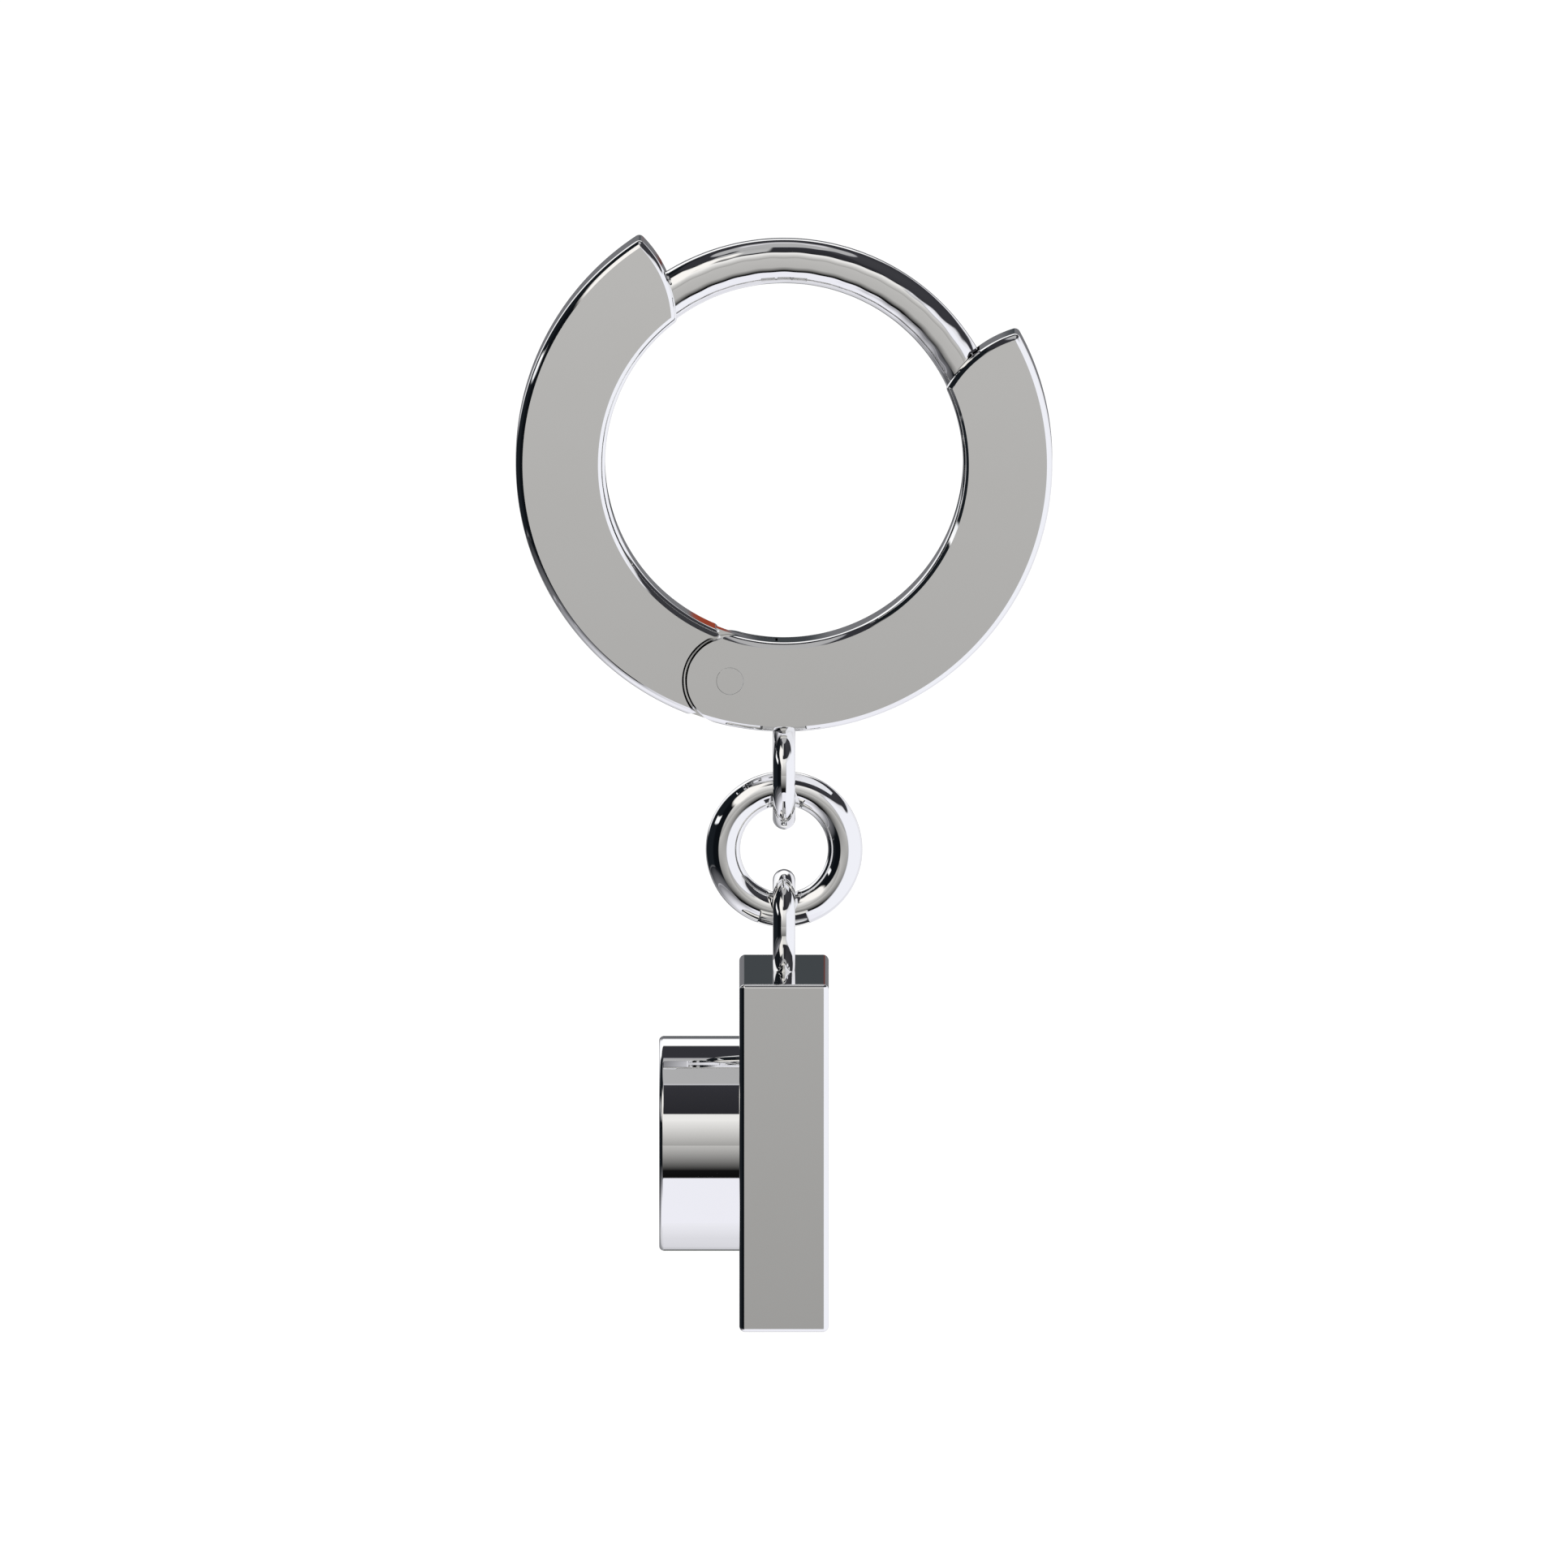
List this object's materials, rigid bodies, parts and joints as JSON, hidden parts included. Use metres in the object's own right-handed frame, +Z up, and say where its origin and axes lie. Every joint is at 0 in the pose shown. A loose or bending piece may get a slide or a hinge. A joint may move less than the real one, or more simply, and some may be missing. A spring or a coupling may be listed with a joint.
{
  "type": "hinged huggie earring with a square plaque drop",
  "caption": "Hinged huggie hoop earring in polished silver: a flat-sided hoop that opens on a pin, a curved ear post, and a square plaque with a round boss hanging from a jump ring.",
  "frame": {"origin": "middle of the ear post at its highest point, where the earring hangs in the lobe", "axes": "+Z up along the hanging drop, +Y along the axis of the hoop and away from the viewer of the picture, +X towards the back half with the catch; the boss on the plaque faces -X"},
  "size_m": [0.012, 0.0078, 0.0243],
  "materials": {
    "polished_silver": "mirror-polished sterling silver",
    "pin_silver": "drawn silver wire, ground flush and polished with the hoop"
  },
  "bodies": {
    "front": {"front_half": "polished_silver"},
    "back": {"back_half": "polished_silver", "hinge_pin": "pin_silver"},
    "ring": {"jump_ring": "polished_silver"},
    "drop": {"plaque": "polished_silver"}
  },
  "joints": [
    {"name": "hoop_hinge", "type": "hinge", "parent": "front", "child": "back", "pos_m": [-0.00121, 0, -0.00936], "axis": [0, 1, 0], "range_deg": [0, 52]},
    {"name": "ring_swing", "type": "hinge", "parent": "back", "child": "ring", "pos_m": [0, 0, -0.01251], "axis": [0, 1, 0], "range_deg": [-80, 80]},
    {"name": "drop_swing", "type": "hinge", "parent": "ring", "child": "drop", "pos_m": [0, 0, -0.01457], "axis": [1, 0, 0], "range_deg": [-80, 80]}
  ]
}
